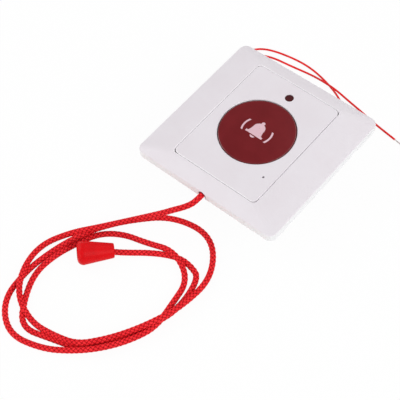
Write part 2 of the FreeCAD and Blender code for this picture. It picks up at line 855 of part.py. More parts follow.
def call_switch_lever():
    """Sprung steel lever on its two trunnions, tilted up to the stem."""
    strip = block((0, lever_length), (-lever_width / 2, lever_width / 2),
                  (-lever_thickness / 2, lever_thickness / 2))
    knuckle = cylinder(knuckle_radius, Vector(0, -lever_width / 2, 0), Vector(0, lever_width / 2, 0))
    pin_half = lever_width / 2 + ear_gap + ear_thickness
    pin = cylinder(trunnion_radius, Vector(0, -pin_half, 0), Vector(0, pin_half, 0))
    lever = joined(strip, [knuckle, pin])
    lever.rotate(Vector(0, 0, 0), along_y, -lever_rest_angle)
    lever.translate(Vector(lever_pivot_x, 0, lever_pivot_z))
    return lever


def pull_switch_body():
    """Case of the switch that the cord slider works."""
    half_length = switch_length / 2
    half_width = switch_width / 2
    case = block((pull_switch_shift - half_length, pull_switch_shift + half_length),
                 (pull_plunger_y - half_width, pull_plunger_y + half_width), (board_top, switch_top))
    bore = post(pull_plunger_radius + plunger_clearance, 0, pull_plunger_y,
                switch_top - plunger_bore_depth, switch_top)
    return case.cut(bore)


def pull_switch_plunger():
    """Plunger that the slider's cam presses."""
    return post(pull_plunger_radius, 0, pull_plunger_y, switch_top - plunger_bore_depth / 2, pull_plunger_top)


def pull_slider():
    """Carriage that the cord draws towards the plate's lower edge, with its cam nose."""
    half = slider_width / 2
    body = block((-half, half), (slider_front, slider_back), (slider_bottom, slider_top))
    body = body.makeFillet(slider_edge_radius, edges_at_height(body, slider_top))

    def cam_bottom(y):
        return cam_height - cam_slope * (y - pull_plunger_y)

    cam_outline = Part.makePolygon([
        Vector(-cam_half_width, slider_front, cam_bottom(slider_front)),
        Vector(-cam_half_width, slider_back, cam_bottom(slider_back)),
        Vector(-cam_half_width, slider_back, slider_bottom),
        Vector(-cam_half_width, slider_front, slider_bottom),
        Vector(-cam_half_width, slider_front, cam_bottom(slider_front)),
    ])
    cam = Part.Face(cam_outline).extrude(Vector(2 * cam_half_width, 0, 0))
    back = Vector(0, slider_back, cord_height)
    passage = cylinder(passage_radius, Vector(0, slider_front, cord_height), back)
    pocket_floor = Vector(0, slider_back - slider_pocket_depth, cord_height)
    pocket = cylinder(cord_radius + crimp_wall + crimp_gap, pocket_floor, back)
    return joined(body, [cam]).cut([passage, pocket])


def crimp_back():
    """Back end of the crimp, just inside the slider's pocket."""
    return slider_back - slider_pocket_depth + crimp_gap / 2 + crimp_length


def cord_crimp():
    """Metal sleeve squeezed on the cord's inner end."""
    start = Vector(0, crimp_back() - crimp_length, cord_height)
    end = Vector(0, crimp_back(), cord_height)
    return cylinder(cord_radius + crimp_wall, start, end).cut(cylinder(cord_radius, start, end))


def pull_spring():
    """Return spring round the cord, between the ferrule and the slider."""
    length = slider_front - ferrule_back - 2 * spring_seat_clearance
    spring = coil_spring(pull_spring_radius, pull_spring_wire_radius, pull_spring_turns, length)
    spring.rotate(Vector(0, 0, 0), along_x, -90)
    spring.translate(Vector(0, ferrule_back + spring_seat_clearance, cord_height))
    return spring


def cord_ferrule():
    """Smooth flanged sleeve that the cord runs through."""
    front = Vector(0, ferrule_front, cord_height)
    back = Vector(0, ferrule_back, cord_height)
    sleeve = cylinder(ferrule_radius, front, back)
    flange = cylinder(ferrule_flange_radius, Vector(0, ferrule_flange_back, cord_height), back)
    mouth = Part.makeCone(passage_radius + ferrule_wall / 2, passage_radius, ferrule_wall, front, along_y)
    return joined(sleeve, [flange]).cut([cylinder(passage_radius, front, back), mouth])


def pull_cord_inner():
    """Straight stretch of the cord from the crimp to just outside the plate."""
    start = Vector(0, crimp_back() - crimp_gap, cord_height)
    end = from_plate_edge(cord_route)[0]
    return cylinder(cord_radius, start, end)


def from_plate_edge(places):
    """Places that are counted from the plate's lower edge, where they are."""
    return [Vector(*place) + plate_edge for place in places]


def closed_curve(places):
    """Smooth closed wire through level points on the table."""
    curve = Part.BSplineCurve()
    curve.interpolate(Points=from_plate_edge(places), PeriodicFlag=True)
    return Part.Wire([curve.toShape()])


def pull_cord_coil():
    """Loose turns of the cord, as one ring of their outer shape."""
    rise = Vector(0, 0, coil_thickness)
    outer = Part.Face(closed_curve(coil_outer)).extrude(rise)
    inner = Part.Face(closed_curve(coil_inner)).extrude(rise)
    return outer.cut(inner)


def knob_frame():
    """Small end's middle and axis of the knob, which lies on its side."""
    lean = math.atan2(knob_big_radius - knob_small_radius, knob_length)
    heading_x, heading_y = knob_axis_heading
    axis = Vector(heading_x * math.cos(lean), heading_y * math.cos(lean), math.sin(lean)).normalize()
    height = knob_small_radius * math.cos(lean) + knob_rest_gap
    return Vector(knob_small_end[0], knob_small_end[1], height) + plate_edge, axis


def knob_point(distance):
    """Point on the knob's axis, from its small end."""
    start, axis = knob_frame()
    return start + axis * distance


def turned_to_knob(shape):
    """Turn a shape made along +Z onto the knob's axis."""
    start, axis = knob_frame()
    shape.Placement = FreeCAD.Placement(start, FreeCAD.Rotation(up, axis))
    return shape


def cord_knob():
    """Conical pull knob, domed at its big end, with a bore for the cord and a pocket for its knot."""
    bore = knob_bore_radius
    pocket_floor = knob_length - knob_pocket_depth
    dome_radius = (knob_big_radius ** 2 + knob_end_bulge ** 2) / (2 * knob_end_bulge)
    dome = Part.makeSphere(dome_radius, Vector(0, 0, knob_length - dome_radius))
    body = Part.makeCone(knob_small_radius, knob_big_radius, knob_length).common(dome)
    end_edges = [edge for edge in body.Edges
                 if edge.BoundBox.ZMin > knob_length - 2 * knob_end_bulge and len(edge.Vertexes) == 1]
    body = body.makeFillet(knob_big_edge, end_edges)
    body = body.makeFillet(knob_small_edge, edges_at_height(body, 0))
    cuts = [post(bore, 0, 0, 0, knob_length), post(knob_pocket_radius, 0, 0, pocket_floor, knob_length)]
    cuts.append(Part.makeCone(bore + knob_mouth_chamfer, bore, knob_mouth_chamfer))
    return turned_to_knob(body.cut(cuts))


def knot_middle():
    """Middle of the end knot, on the floor of the knob's pocket."""
    return knob_point(knob_length - knob_pocket_depth + knot_seat)


def cord_end_knot():
    """Overhand knot in the cord's end, as one round solid."""
    return Part.makeSphere(knot_radius, knot_middle())


def pull_cord_tail():
    """Last stretch of the cord, along the table and up into the knob."""
    approach = knob_point(-tail_approach)
    approach.z = tail_route[-1][2]
    entry = knob_point(tail_entry) - Vector(0, 0, tail_entry_drop)
    route = from_plate_edge(tail_route) + [approach, entry, knot_middle()]
    print("knob points", [tuple(round(value, 3) for value in point) for point in route[-3:]])
    return route_tube("pull_cord_tail", route, cord_diameter)


def led_lens():
    """Dark window in the indicator hole, with a flange behind the panel."""
    window = post(indicator_hole_radius - lens_gap, 0, indicator_y, lens_bottom, face_height - lens_recess)
    flange = post(lens_flange_radius, 0, indicator_y, lens_bottom, panel_underside)
    return joined(window, [flange])


def status_led():
    """Small round lamp behind the window."""
    body = post(led_radius, 0, indicator_y, led_base, led_top - led_radius)
    tip = Part.makeSphere(led_radius, Vector(0, indicator_y, led_top - led_radius))
    flange = post(led_flange_radius, 0, indicator_y, led_base, led_base + led_flange_height)
    return joined(body, [tip, flange])


def led_legs():
    """Two long legs from the lamp to the board."""
    half = leg_size / 2
    y_span = (indicator_y - half, indicator_y + half)
    legs = [block((x - half, x + half), y_span, (board_bottom - leg_end_length, led_base))
            for x in (-leg_pitch / 2, leg_pitch / 2)]
    return Part.makeCompound(legs)


def led_resistor():
    """Axial resistor with its bent legs."""
    x, y = resistor_place
    height = board_top + resistor_rise
    half = resistor_length / 2
    body = cylinder(resistor_radius, Vector(x - half, y, height), Vector(x + half, y, height))
    legs = []
    for side in (-1, 1):
        start = Vector(x + side * half, y, height)
        corner = Vector(x + side * resistor_pitch / 2, y, height)
        end = Vector(corner.x, y, board_bottom - leg_end_length)
        section = level_circle(start, resistor_leg_radius, along_x)
        legs.append(route_wire([start, corner, end]).makePipeShell([section], True, False))
    return joined(body, legs)


def lead_opening(x_start, x_end, rim):
    """Oblong round the two leads, between two planes across X."""
    half_y = lead_hole_width / 2 + rim
    half_z = lead_hole_height / 2 + rim
    shape = block((x_start, x_end), (lead_y - half_y + half_z, lead_y + half_y - half_z),
                  (lead_height - half_z, lead_height + half_z))
    ends = []
    for side in (-1, 1):
        y = lead_y + side * (half_y - half_z)
        ends.append(cylinder(half_z, Vector(x_start, y, lead_height), Vector(x_end, y, lead_height)))
    return joined(shape, ends)


def lead_places():
    """Where the two leads lie along Y in their bush."""
    return [lead_y - lead_pitch / 2, lead_y + lead_pitch / 2]


def lead_bush():
    """Rubber bush that grips the two leads in the housing wall."""
    outside = -housing_width / 2
    inside = outside + housing_wall
    neck = lead_opening(outside - lead_bush_flange, inside + lead_bush_flange, -lead_hole_gap)
    outer = lead_opening(outside - lead_bush_flange, outside, lead_bush_rim)
    inner = lead_opening(inside, inside + lead_bush_flange, lead_bush_rim)
    holes = [cylinder(lead_radius, Vector(-housing_width, y, lead_height), Vector(0, y, lead_height))
             for y in lead_places()]
    return joined(neck, [outer, inner]).cut(holes)


def lead_header():
    """Two-way connector block on the board, where the leads end."""
    half = header_width / 2
    body = block((header_face_x, header_face_x + header_length), (lead_y - half, lead_y + half),
                 (board_top, board_top + header_height))
    back = header_face_x + header_length
    recess_half = half - header_recess_wall
    recess = block((back - header_length / 3, back), (lead_y - recess_half, lead_y + recess_half),
                   (board_top + header_height / 2, board_top + header_height))
    return body.cut(recess)


def lead_wire(name, route, y):
    """One insulated lead: straight through its bush, then along its route."""
    inner = cylinder(lead_radius, Vector(header_face_x, y, lead_height), Vector(*route[0]))
    outer = route_tube(name, route, lead_diameter)
    return inner.fuse(outer).removeSplitter()


def lead_tip(route):
    """Bare tinned end of a lead."""
    end = Vector(*route[-1])
    way = (end - Vector(*route[-2])).normalize()
    return cylinder(tip_radius, end, end + way * tip_length)


def all_parts():
    """Every piece by name."""
    parts = {
        "cover_frame": cover_frame(),
        "front_panel": front_panel(),
        "mounting_base": mounting_base(),
        "rear_housing": rear_housing(),
        "case_screws": case_screws(),
        "circuit_board": circuit_board(),
        "board_screws": board_screws(),
        "call_button_cap": call_button_cap(),
        "button_carrier": button_carrier(),
        "button_spring_upper": button_spring(1),
        "button_spring_lower": button_spring(-1),
        "call_switch_body": call_switch_body(),
        "call_switch_plunger": call_switch_plunger(),
        "call_switch_lever": call_switch_lever(),
        "call_switch_pins": switch_pins(call_pin_places()),
        "pull_switch_body": pull_switch_body(),
        "pull_switch_plunger": pull_switch_plunger(),
        "pull_switch_pins": switch_pins(pull_pin_places()),
        "pull_slider": pull_slider(),
        "pull_spring": pull_spring(),
        "cord_crimp": cord_crimp(),
        "cord_ferrule": cord_ferrule(),
        "pull_cord_inner": pull_cord_inner(),
        "pull_cord": route_tube("pull_cord", from_plate_edge(cord_route), cord_diameter),
        "pull_cord_coil": pull_cord_coil(),
        "pull_cord_tail": pull_cord_tail(),
        "cord_knob": cord_knob(),
        "cord_end_knot": cord_end_knot(),
        "led_lens": led_lens(),
        "status_led": status_led(),
        "led_legs": led_legs(),
        "led_resistor": led_resistor(),
        "lead_header": lead_header(),
        "lead_bush": lead_bush(),
    }
    routes = {"lead_wire_a": lead_a_route, "lead_wire_b": lead_b_route}
    for (name, route), y in zip(routes.items(), lead_places()):
        parts[name] = lead_wire(name, route, y)
        parts[name.replace("wire", "tip")] = lead_tip(route)
    return parts


os.makedirs("parts", exist_ok=True)
for name, shape in all_parts().items():
    print(name, "valid", shape.isValid(), "solids", len(shape.Solids), "volume", round(shape.Volume, 2))
    shape.exportStep("parts/" + name + ".step")
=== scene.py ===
import json
import math

import bpy
from mathutils import Matrix, Vector


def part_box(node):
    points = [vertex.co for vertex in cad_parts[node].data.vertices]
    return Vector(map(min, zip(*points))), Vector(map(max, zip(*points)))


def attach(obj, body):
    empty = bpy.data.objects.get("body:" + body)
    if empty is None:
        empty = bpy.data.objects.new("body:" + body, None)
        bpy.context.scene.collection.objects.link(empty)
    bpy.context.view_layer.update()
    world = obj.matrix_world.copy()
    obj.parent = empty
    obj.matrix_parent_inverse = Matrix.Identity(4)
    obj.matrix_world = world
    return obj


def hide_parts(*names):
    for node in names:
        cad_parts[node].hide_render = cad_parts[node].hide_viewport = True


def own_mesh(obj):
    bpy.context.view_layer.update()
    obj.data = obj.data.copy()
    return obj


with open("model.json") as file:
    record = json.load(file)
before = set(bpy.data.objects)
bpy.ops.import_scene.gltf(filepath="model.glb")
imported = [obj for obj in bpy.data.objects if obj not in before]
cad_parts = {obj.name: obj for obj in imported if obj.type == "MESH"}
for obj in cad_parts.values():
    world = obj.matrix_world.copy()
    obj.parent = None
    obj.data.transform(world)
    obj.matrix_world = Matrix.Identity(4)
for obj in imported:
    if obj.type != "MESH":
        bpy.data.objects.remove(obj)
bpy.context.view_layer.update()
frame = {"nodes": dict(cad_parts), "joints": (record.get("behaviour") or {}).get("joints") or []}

scene = bpy.context.scene
cad = frame["nodes"]
MM = 0.001

# Height of the hole that the cord leaves by, in mm
cord_exit_height = 19.2


# Shader arithmetic

class Signal:
    """A socket of a finish; arithmetic on it adds the Math nodes."""

    def __init__(self, finish, socket):
        self.finish = finish
        self.socket = socket

    def math(self, operation, *others):
        values = {0: self}
        for place, other in enumerate(others, 1):
            values[place] = other
        return self.finish.node("ShaderNodeMath", {"operation": operation}, values)

    def __add__(self, other):
        return self.math("ADD", other)

    __radd__ = __add__

    def __mul__(self, other):
        return self.math("MULTIPLY", other)

    def __sub__(self, other):
        return self.math("SUBTRACT", other)

    def __rsub__(self, other):
        return (self * -1.0) + other

    def __truediv__(self, other):
        return self.math("DIVIDE", other)

    def __pow__(self, other):
        return self.math("POWER", other)

    def floor(self):
        return self.math("FLOOR")

    def fraction(self):
        return self.math("FRACT")

    def inside(self, edge, blur=0.00004):
        """1 where the value is under the edge, 0 beyond it."""
        return 1.0 - self.smooth(edge - blur, edge + blur)

    def half_wave(self):
        """0 at whole numbers and 1 half way between them."""
        return (self.fraction() * math.pi).math("SINE")

    def above(self, edge):
        return self.math("GREATER_THAN", edge)

    def smooth(self, low, high):
        """0 below low, 1 above high, smooth between."""
        return self.finish.node(
            "ShaderNodeMapRange", {"interpolation_type": "SMOOTHSTEP"},
            {"Value": self, "From Min": low, "From Max": high},
        )


class Finish:
    """One material of the call point."""

    def __init__(self, name, **constants):
        self.material = bpy.data.materials.new(name)
        self.material.use_nodes = True
        self.tree = self.material.node_tree
        self.shader = self.tree.nodes["Principled BSDF"]
        self.output = self.tree.nodes["Material Output"]
        self.coordinates = {}
        for socket, value in constants.items():
            self.shader.inputs[socket.replace("_", " ")].default_value = value

    def node(self, kind, settings=None, values=None, output=0):
        made = self.tree.nodes.new(kind)
        for name, value in (settings or {}).items():
            setattr(made, name, value)
        for socket, value in (values or {}).items():
            if isinstance(value, Signal):
                self.tree.links.new(value.socket, made.inputs[socket])
            else:
                made.inputs[socket].default_value = value
        return Signal(self, made.outputs[output])

    def place(self, output="Object"):
        """Where a point is: in metres in the row frame, or in the UV map."""
        if output not in self.coordinates:
            self.coordinates[output] = self.node("ShaderNodeTexCoord", output=output)
        return self.coordinates[output]

    def stretched(self, scale):
        return self.node(
            "ShaderNodeVectorMath", {"operation": "MULTIPLY"}, {0: self.place(), 1: scale}
        )

    def axis(self, name, output="Object"):
        return self.node(
            "ShaderNodeSeparateXYZ", None, {0: self.place(output)}, "XYZ".index(name)
        )

    def grain(self, size, detail=2.0, roughness=0.5, stretch=(1.0, 1.0, 1.0)):
        """Noise of about 0 to 1 whose lumps are size metres across."""
        return self.node(
            "ShaderNodeTexNoise", None,
            {"Vector": self.stretched(tuple(s / size for s in stretch)), "Scale": 1.0,
             "Detail": detail, "Roughness": roughness},
        )

    def mix(self, amount, low, high):
        """A colour between two colours."""
        return self.node(
            "ShaderNodeMix", {"data_type": "RGBA"}, {0: amount, 6: low, 7: high}, 2
        )

    def feed(self, **signals):
        for socket, signal in signals.items():
            self.tree.links.new(
                signal.socket, self.shader.inputs[socket.replace("_", " ")]
            )

    def bump(self, height, distance, strength=1.0):
        return self.node(
            "ShaderNodeBump", None,
            {"Height": height, "Distance": distance, "Strength": strength},
        )


def colour(red, green, blue):
    """A screen colour of 0 to 255 as the shader's own."""
    def linear(value):
        value = value / 255
        return value / 12.92 if value <= 0.04045 else ((value + 0.055) / 1.055) ** 2.4
    return (linear(red), linear(green), linear(blue), 1.0)


# Finishes, one for each kind of material

def moulded(name, body, shade, gloss, cloud_size=0.018, grain_size=0.0003, depth=6e-6,
            shine=0.4):
    """Moulded plastic: fine texture, a slight cloud of shade, uneven gloss."""
    finish = Finish(name, Specular_IOR_Level=shine)
    cloud = finish.grain(cloud_size, 3.0, 0.55)
    fine = finish.grain(grain_size, 2.0, 0.6)
    finish.feed(
        Base_Color=finish.mix(cloud.smooth(0.3, 0.7), body, shade),
        Roughness=gloss + (fine - 0.5) * 0.10 + (cloud - 0.5) * 0.06,
        Normal=finish.bump(fine, depth),
    )
    return finish.material


def metal(name, body, shade, gloss, grain_size=0.0008, stretch=(1.0, 1.0, 1.0),
          depth=8e-6):
    """Plated or drawn metal with light marks."""
    finish = Finish(name, Metallic=1.0)
    cloud = finish.grain(grain_size * 4, 3.0, 0.6)
    marks = finish.grain(grain_size, 2.0, 0.6, stretch)
    finish.feed(
        Base_Color=finish.mix(cloud.smooth(0.3, 0.7), body, shade),
        Roughness=gloss + (marks - 0.5) * 0.2,
        Normal=finish.bump(marks, depth),
    )
    return finish.material


housing_plastic = moulded(
    "housing_plastic", colour(232, 231, 232), colour(226, 225, 226), 0.5,
    cloud_size=0.02, grain_size=0.0005, depth=12e-6)
carrier_plastic = moulded(
    "carrier_plastic", colour(206, 206, 202), colour(196, 196, 192), 0.5)
switch_plastic = moulded(
    "switch_plastic", colour(34, 34, 36), colour(44, 44, 46), 0.45)
plunger_plastic = moulded(
    "plunger_plastic", colour(226, 220, 204), colour(216, 210, 196), 0.4)
ferrule_plastic = moulded(
    "ferrule_plastic", colour(60, 20, 34), colour(48, 16, 28), 0.4)
knob_plastic = moulded(
    "knob_plastic", colour(222, 12, 20), colour(210, 10, 18), 0.42,
    cloud_size=0.01, grain_size=0.0004, depth=8e-6, shine=0.1)
header_plastic = moulded(
    "header_plastic", colour(236, 232, 220), colour(226, 222, 210), 0.45)
bush_rubber = moulded(
    "bush_rubber", colour(38, 38, 40), colour(50, 50, 52), 0.7,
    cloud_size=0.008, grain_size=0.0004, depth=20e-6)
lead_insulation = moulded(
    "lead_insulation", colour(236, 34, 34), colour(220, 26, 28), 0.32,
    cloud_size=0.006, grain_size=0.0003, depth=5e-6, shine=0.25)
spring_steel = metal("spring_steel", colour(170, 170, 172), colour(140, 140, 144), 0.28)
screw_steel = metal("screw_steel", colour(196, 194, 188), colour(168, 168, 166), 0.32)
lever_steel = metal("lever_steel", colour(190, 190, 192), colour(160, 160, 164), 0.3)
tinned_metal = metal(
    "tinned_metal", colour(238, 230, 228), colour(216, 206, 202), 0.35,
    grain_size=0.0003, stretch=(1.0, 6.0, 6.0), depth=20e-6)
crimp_brass = metal("crimp_brass", colour(212, 176, 104), colour(180, 140, 76), 0.3)


def plate_plastic(name, gloss, half_width, half_height, corner):
    """White plastic, with a painted highlight on the lips of the groove between panel and frame.

    The groove is given as half its width and height and its corner's radius.
    """
    groove_end = 0.0248
    finish = Finish(name, Specular_IOR_Level=0.4, Subsurface_Weight=0.2,
                    Subsurface_Scale=0.001, Subsurface_Radius=(1.0, 1.0, 1.0))
    cloud, fine = finish.grain(0.018, 3.0, 0.55), finish.grain(0.0003, 2.0, 0.6)
    x, y = finish.axis("X"), finish.axis("Y")
    across = (x.math("ABSOLUTE") - (half_width - corner)).math("MAXIMUM", 0.0)
    along = (y.math("ABSOLUTE") - (half_height - corner)).math("MAXIMUM", 0.0)
    edge = (across * across + along * along) ** 0.5 - corner
    # Painted highlight: a paler colour along the groove's lips, left off the +X side.
    lip_highlight = edge.math("ABSOLUTE").inside(0.0004, 0.0001) * x.inside(groove_end, 0.0004)
    body = finish.mix(cloud.smooth(0.3, 0.7), colour(228, 223, 228), colour(226, 220, 225))
    finish.feed(
        Roughness=gloss + (fine - 0.5) * 0.10 + (cloud - 0.5) * 0.06,
        Normal=finish.bump(fine, 6e-6),
    )
    return finish, finish.mix(lip_highlight * 0.4, body, colour(252, 250, 252))


def frame_finish():
    """The frame: paler below its rim as painted light on its side walls, with a dark ring round
    the cord's hole.
    """
    finish, plastic = plate_plastic(
        "frame_plastic", 0.42, half_width=0.02575, half_height=0.03435, corner=0.0023)
    wall_height, wall_face, ring_radius = 0.0211, -0.0418, 0.0022
    x, rise = finish.axis("X"), finish.axis("Z") - cord_exit_height * MM
    reach = (x * x + rise * rise) ** 0.5
    ring = reach.inside(ring_radius) * finish.axis("Y").inside(wall_face)
    # Painted light: the side walls below the rim get a paler, less pink colour.
    wall_light = finish.axis("Z").inside(wall_height, 0.0004)
    sides_with_wall_light = finish.mix(wall_light, plastic, colour(236, 236, 237))
    finish.feed(Base_Color=finish.mix(ring, sides_with_wall_light, colour(96, 30, 58)))
    return finish.material


def panel_finish():
    finish, plastic = plate_plastic(
        "panel_plastic", 0.38, half_width=0.0256, half_height=0.0342, corner=0.003)
    finish.feed(Base_Color=plastic)
    return finish.material


def bell_print(finish):
    """A plain bell between two sound arcs, 0 to 1, for the middle of the cap."""
    print_scale = 1.2
    x, y = finish.axis("X") / print_scale, finish.axis("Y") / print_scale
    across = x.math("ABSOLUTE")
    shoulder, hem, half_bell, flare_out, arc_radius = 0.0012, -0.0022, 0.0027, 0.0009, 0.0066

    def disc(middle, radius):
        rise = y - middle
        return ((x * x + rise * rise) ** 0.5).inside(radius)

    fall = (shoulder - y) / (shoulder - hem)
    flare = (across - fall * fall * flare_out).inside(half_bell)
    reach = (x * x + y * y) ** 0.5
    parts = (
        flare * y.inside(shoulder) * (1.0 - y.inside(hem)),
        across.inside(0.0042) * (y - hem).math("ABSOLUTE").inside(0.0005),
        disc(0.0043, 0.0008),
        disc(-0.0028, 0.0013) * y.inside(-0.0032),
        (reach - arc_radius).math("ABSOLUTE").inside(0.0004)
        * y.math("ABSOLUTE").inside(0.0031),
    )
    shape = disc(shoulder, half_bell)
    for part in parts:
        shape = shape.math("MAXIMUM", part)
    return shape


def button_finish():
    """Dark red cap with the pale print; its edge is glossier, with painted shade at the gap round
    it.
    """
    finish = Finish("button_plastic", Specular_IOR_Level=0.2, Coat_Roughness=0.2)
    face_height, turn_radius, cap_radius = 0.0245, 0.0189, 0.0195
    cloud = finish.grain(0.012, 3.0, 0.55)
    fine = finish.grain(0.00035, 2.0, 0.6)
    printed = bell_print(finish) * finish.axis("Z").above(face_height)
    speck = finish.grain(0.0007, 2.0, 0.6).smooth(0.25, 0.34)
    red = finish.mix(cloud.smooth(0.3, 0.7), colour(114, 22, 28), colour(106, 17, 23))
    ink = finish.mix(cloud, colour(226, 190, 198), colour(214, 178, 190))
    x, y = finish.axis("X"), finish.axis("Y")
    reach = (x * x + y * y) ** 0.5
    edge = reach.smooth(turn_radius, turn_radius + 0.0003) * reach.inside(cap_radius, 0.0001)
    # Painted shade: the cap's outer side, in the gap round it, is darker.
    gap_shade = reach.smooth(cap_radius - 0.0001, cap_radius + 0.0002)
    body = finish.mix(gap_shade, red, colour(74, 14, 20))
    finish.feed(
        Base_Color=finish.mix(printed * speck, body, ink),
        Roughness=0.34 + (fine - 0.5) * 0.10 + printed * 0.1,
        Coat_Weight=edge * 0.9,
        Normal=finish.bump(fine * 0.4 + printed, 1.2e-5),
    )
    return finish.material


def board_laminate():
    """Green lacquered laminate with the cloth faintly seen in it."""
    finish = Finish("board_laminate", Coat_Weight=0.4, Coat_Roughness=0.15)
    thread = 0.0006
    weave = (finish.axis("X") / thread).half_wave() * (finish.axis("Y") / thread).half_wave()
    cloud = finish.grain(0.01)
    finish.feed(
        Base_Color=finish.mix(weave * 0.5 + cloud * 0.4, colour(22, 92, 54), colour(34, 116, 66)),
        Roughness=0.3 + cloud * 0.1,
        Normal=finish.bump(weave, 6e-6),
    )
    return finish.material


def clear_red(name, body, deep, gloss):
    """Glossy tinted plastic, so deep that it looks nearly black from above."""
    finish = Finish(
        name, IOR=1.5, Specular_IOR_Level=0.3, Coat_Weight=0.15, Coat_Roughness=0.06)
    cloud = finish.grain(0.002)
    finish.feed(
        Base_Color=finish.mix(cloud, body, deep),
        Roughness=gloss + cloud * 0.05,
        Normal=finish.bump(cloud, 8e-6),
    )
    return finish.material


def resistor_paint():
    """Tan lacquer with four colour rings along the resistor."""
    finish = Finish("resistor_paint", Coat_Weight=0.5, Coat_Roughness=0.1)
    low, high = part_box("led_resistor")
    middle = (low + high) / 2
    size = high - low
    along = max(range(3), key=lambda k: size[k])
    band_step = 0.0009
    reach = (finish.axis("XYZ"[along]) - middle[along]) / band_step
    tan = finish.mix(finish.grain(0.001), colour(214, 184, 132), colour(198, 168, 118))
    ring = (reach + 0.5).half_wave().above(0.82)
    inside = reach.math("ABSOLUTE").math("LESS_THAN", 2.0)
    bands = finish.mix((reach + 2.0) / 4.0, colour(196, 40, 36), colour(96, 58, 34))
    finish.feed(
        Base_Color=finish.mix(ring * inside, tan, bands),
        Roughness=0.35 + ring * 0.1,
        Normal=finish.bump(finish.grain(0.0004), 8e-6),
    )
    return finish.material


# The braid of the pull cord

braid_cells = 4
braid_pitch = 0.0023
cord_radius = 0.0016
braid_depth = 0.0003


def braid_rise(around, along):
    """How high the braid stands, 0 to 1, where around and along count its cells."""
    first, second = around + along, around - along
    over = (math.floor(first + 1e-6) + math.floor(second + 1e-6)) % 2
    across, down = (first, second) if over else (second, first)
    crown = math.sin(math.pi * (across % 1.0))
    dip = math.sin(math.pi * (down % 1.0))
    return crown * (0.55 + 0.45 * dip)


def braided_yarn(name, cells):
    """Bright red braided yarn: crossing strands with painted shade in the gaps, fine threads
    along each.
    """
    finish = Finish(name, Specular_IOR_Level=0.08)
    around, along = cells(finish)
    first, second = around + along, around - along
    over = ((first.floor() + second.floor()) * 0.5).fraction().above(0.25)
    crown = first.half_wave() * over + second.half_wave() * (1.0 - over)
    dip = second.half_wave() * over + first.half_wave() * (1.0 - over)
    threads = (first * 5.0).half_wave() * over + (second * 5.0).half_wave() * (1.0 - over)
    rise = crown * (dip * 0.45 + 0.55)
    cloud = finish.grain(0.004, 3.0, 0.6)
    lit = finish.mix(cloud.smooth(0.3, 0.7), colour(251, 50, 56), colour(238, 38, 46))
    finish.feed(
        # Painted shade: the red darkens where the strands dip into the gaps between them.
        Base_Color=finish.mix(rise.smooth(0.1, 0.75), colour(162, 8, 16), lit),
        Roughness=0.62 - rise * 0.12 + (threads - 0.5) * 0.08,
        Normal=finish.bump(threads * 0.4 + rise, 1e-4, 0.7),
    )
    return finish.material


def cells_on_tube(finish):
    return finish.axis("X", "UV"), finish.axis("Y", "UV")


def cells_on(node, along_axis, across_axes):
    """Braid cells round a carried-over piece, from its box in the frame."""
    low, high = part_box(node)
    middle = (low + high) / 2

    def cells(finish):
        first, second = (finish.axis(name) - middle["XYZ".index(name)] for name in across_axes)
        around = first.math("ARCTAN2", second) * (braid_cells / math.tau)
        return around, finish.axis(along_axis) / braid_pitch

    return cells


braid = braided_yarn("cord_braid", cells_on_tube)
inner_braid = braided_yarn("inner_cord_braid", cells_on("pull_cord_inner", "Y", "XZ"))
knot_braid = braided_yarn("knot_braid", cells_on("cord_end_knot", "Z", "XY"))
slots = {
    "cover_frame": frame_finish(), "front_panel": panel_finish(),
    "mounting_base": housing_plastic, "rear_housing": housing_plastic,
    "case_screws": screw_steel, "circuit_board": board_laminate(), "board_screws": screw_steel,
    "call_button_cap": button_finish(), "button_carrier": carrier_plastic,
    "button_spring_upper": spring_steel, "button_spring_lower": spring_steel,
    "call_switch_body": switch_plastic, "call_switch_plunger": plunger_plastic,
    "call_switch_lever": lever_steel, "call_switch_pins": tinned_metal,
    "pull_switch_body": switch_plastic, "pull_switch_plunger": plunger_plastic,
    "pull_switch_pins": tinned_metal, "pull_slider": carrier_plastic, "pull_spring": spring_steel,
    "cord_crimp": crimp_brass, "cord_ferrule": ferrule_plastic, "pull_cord_inner": inner_braid,
    "pull_cord": braid, "pull_cord_coil": braid, "pull_cord_tail": braid,
    "cord_knob": knob_plastic, "cord_end_knot": knot_braid,
    "led_lens": clear_red("lens_plastic", colour(78, 8, 16), colour(62, 4, 12), 0.18),
    "status_led": clear_red("led_plastic", colour(176, 24, 28), colour(150, 18, 24), 0.15),
    "led_legs": tinned_metal, "led_resistor": resistor_paint(), "lead_header": header_plastic,
    "lead_bush": bush_rubber, "lead_wire_a": lead_insulation, "lead_wire_b": lead_insulation,
    "lead_tip_a": tinned_metal, "lead_tip_b": tinned_metal,
}
for name, piece in cad.items():
    piece.data.materials.clear()
    piece.data.materials.append(slots[name])


# Lines, tubes and meshes

def spline_piece(name, points):
    """A smooth open curve with the points as its control points."""
    curve = bpy.data.curves.new(name, "CURVE")
    curve.dimensions = "3D"
    spline = curve.splines.new("NURBS")
    spline.points.add(len(points) - 1)
    for point, place in zip(spline.points, points):
        point.co = (*place, 1.0)
    spline.order_u = 3
    spline.use_endpoint_u = True
    curve.resolution_u = 16
    piece = bpy.data.objects.new(name, curve)
    scene.collection.objects.link(piece)
    return piece


def line_points(name, points):
    """The points of the smooth line, read from its spline."""
    guide = spline_piece(name + "_line", points)
    mesh = bpy.data.meshes.new_from_object(guide)
    line = [vertex.co.copy() for vertex in mesh.vertices]
    bpy.data.meshes.remove(mesh)
    bpy.data.objects.remove(guide)
    return line


def even_steps(line, step):
    """Points a step apart along the line."""
    places = [line[0]]
    left = step
    for start, end in zip(line, line[1:]):
        run = end - start
        length = run.length
        while left <= length:
            places.append(start + run * (left / length))
            left += step
        left -= length
    return places


